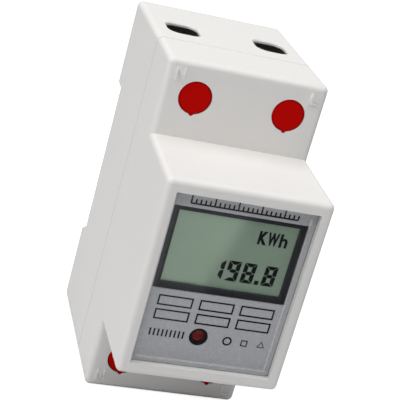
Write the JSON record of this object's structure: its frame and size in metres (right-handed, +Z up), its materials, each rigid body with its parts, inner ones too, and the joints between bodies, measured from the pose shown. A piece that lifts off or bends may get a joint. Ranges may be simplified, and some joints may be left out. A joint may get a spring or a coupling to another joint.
{
  "type": "din rail energy meter",
  "caption": "Two-module rail-mounted single-phase energy meter with a liquid crystal display, pulse lamp, plugged clamp screws and a sprung rail clip.",
  "frame": {"origin": "centre of the rail seat: on the recess floor, midway across the width and at the rail's centre line", "axes": "+X to the right seen from the front, -Y towards the viewer, +Z up along the meter's height"},
  "size_m": [0.036, 0.0668, 0.08],
  "materials": {
    "housing": "fine spark-eroded white moulding",
    "clip": "plain moulded",
    "spring_steel": "drawn wire",
    "window": "clear and polished",
    "face_plate": "silver-grey, fine speckle",
    "black_plastic": "matt moulded",
    "lcd": "reflective liquid crystal display",
    "contact_rubber": "layered conductive rubber",
    "lamp": "tinted resin",
    "board": "green resist on glass fibre",
    "fastener_steel": "zinc plated",
    "capacitor": "potted box",
    "can": "drawn can",
    "varistor": "epoxy coated",
    "resistor": "flame-proof coating",
    "chip": "moulded epoxy with tinned pins",
    "copper": "rolled copper bar",
    "shunt": "resistance alloy strip",
    "cage_steel": "nickel plated",
    "screw_steel": "zinc plated",
    "plug": "soft moulded red plastic",
    "lead_insulation": "extruded insulation"
  },
  "bodies": {
    "housing": {"board_screws": "fastener_steel", "clip_spring": "spring_steel", "contact_strip_lower": "contact_rubber", "contact_strip_upper": "contact_rubber", "control_chip": "chip", "display_window": "window", "face_plate": "face_plate", "film_capacitor": "capacitor", "front_cover": "housing", "lamp_sleeve": "black_plastic", "lcd_bezel": "black_plastic", "lcd_panel": "lcd", "line_bar_lower": "copper", "line_bar_upper": "copper", "main_board": "board", "meter_chip": "chip", "neutral_bar": "copper", "neutral_lead": "lead_insulation", "power_resistor": "resistor", "pulse_lamp": "lamp", "rear_housing": "housing", "screw_plug_line_bottom": "plug", "screw_plug_line_top": "plug", "screw_plug_neutral_bottom": "plug", "screw_plug_neutral_top": "plug", "sense_lead_lower": "lead_insulation", "sense_lead_upper": "lead_insulation", "shunt_strip": "shunt", "smoothing_capacitor": "can", "surge_varistor": "varistor", "timing_crystal": "can"},
    "clip": {"rail_clip": "clip"},
    "screw_neutral_top": {"clamp_screw_neutral_top": "screw_steel"},
    "cage_neutral_top": {"clamp_cage_neutral_top": "cage_steel"},
    "screw_line_top": {"clamp_screw_line_top": "screw_steel"},
    "cage_line_top": {"clamp_cage_line_top": "cage_steel"},
    "screw_neutral_bottom": {"clamp_screw_neutral_bottom": "screw_steel"},
    "cage_neutral_bottom": {"clamp_cage_neutral_bottom": "cage_steel"},
    "screw_line_bottom": {"clamp_screw_line_bottom": "screw_steel"},
    "cage_line_bottom": {"clamp_cage_line_bottom": "cage_steel"}
  },
  "joints": [
    {"name": "clip_slide", "type": "slide", "parent": "housing", "child": "clip", "axis": [0, 0, -1], "range_m": [0, 0.0026], "stiffness_N_per_m": 600, "springref_m": -0.004, "deforming": ["clip_spring"]},
    {"name": "screw_turn_neutral_top", "type": "hinge", "parent": "housing", "child": "screw_neutral_top", "pos_m": [-0.0105, -0.0326, 0.0322], "axis": [0, 1, 0], "range_deg": [0, 3240]},
    {"name": "cage_slide_neutral_top", "type": "slide", "parent": "housing", "child": "cage_neutral_top", "axis": [0, -1, 0], "range_m": [0, 0.0072]},
    {"name": "screw_turn_line_top", "type": "hinge", "parent": "housing", "child": "screw_line_top", "pos_m": [0.0105, -0.0326, 0.0322], "axis": [0, 1, 0], "range_deg": [0, 3240]},
    {"name": "cage_slide_line_top", "type": "slide", "parent": "housing", "child": "cage_line_top", "axis": [0, -1, 0], "range_m": [0, 0.0072]},
    {"name": "screw_turn_neutral_bottom", "type": "hinge", "parent": "housing", "child": "screw_neutral_bottom", "pos_m": [-0.0105, -0.0326, -0.0322], "axis": [0, 1, 0], "range_deg": [0, 3240]},
    {"name": "cage_slide_neutral_bottom", "type": "slide", "parent": "housing", "child": "cage_neutral_bottom", "axis": [0, -1, 0], "range_m": [0, 0.0072]},
    {"name": "screw_turn_line_bottom", "type": "hinge", "parent": "housing", "child": "screw_line_bottom", "pos_m": [0.0105, -0.0326, -0.0322], "axis": [0, 1, 0], "range_deg": [0, 3240]},
    {"name": "cage_slide_line_bottom", "type": "slide", "parent": "housing", "child": "cage_line_bottom", "axis": [0, -1, 0], "range_m": [0, 0.0072]}
  ],
  "couplings": [
    {"joint": "screw_turn_neutral_top", "follows": "cage_slide_neutral_top", "rad_per_m": 7850},
    {"joint": "screw_turn_line_top", "follows": "cage_slide_line_top", "rad_per_m": 7850},
    {"joint": "screw_turn_neutral_bottom", "follows": "cage_slide_neutral_bottom", "rad_per_m": 7850},
    {"joint": "screw_turn_line_bottom", "follows": "cage_slide_line_bottom", "rad_per_m": 7850}
  ]
}
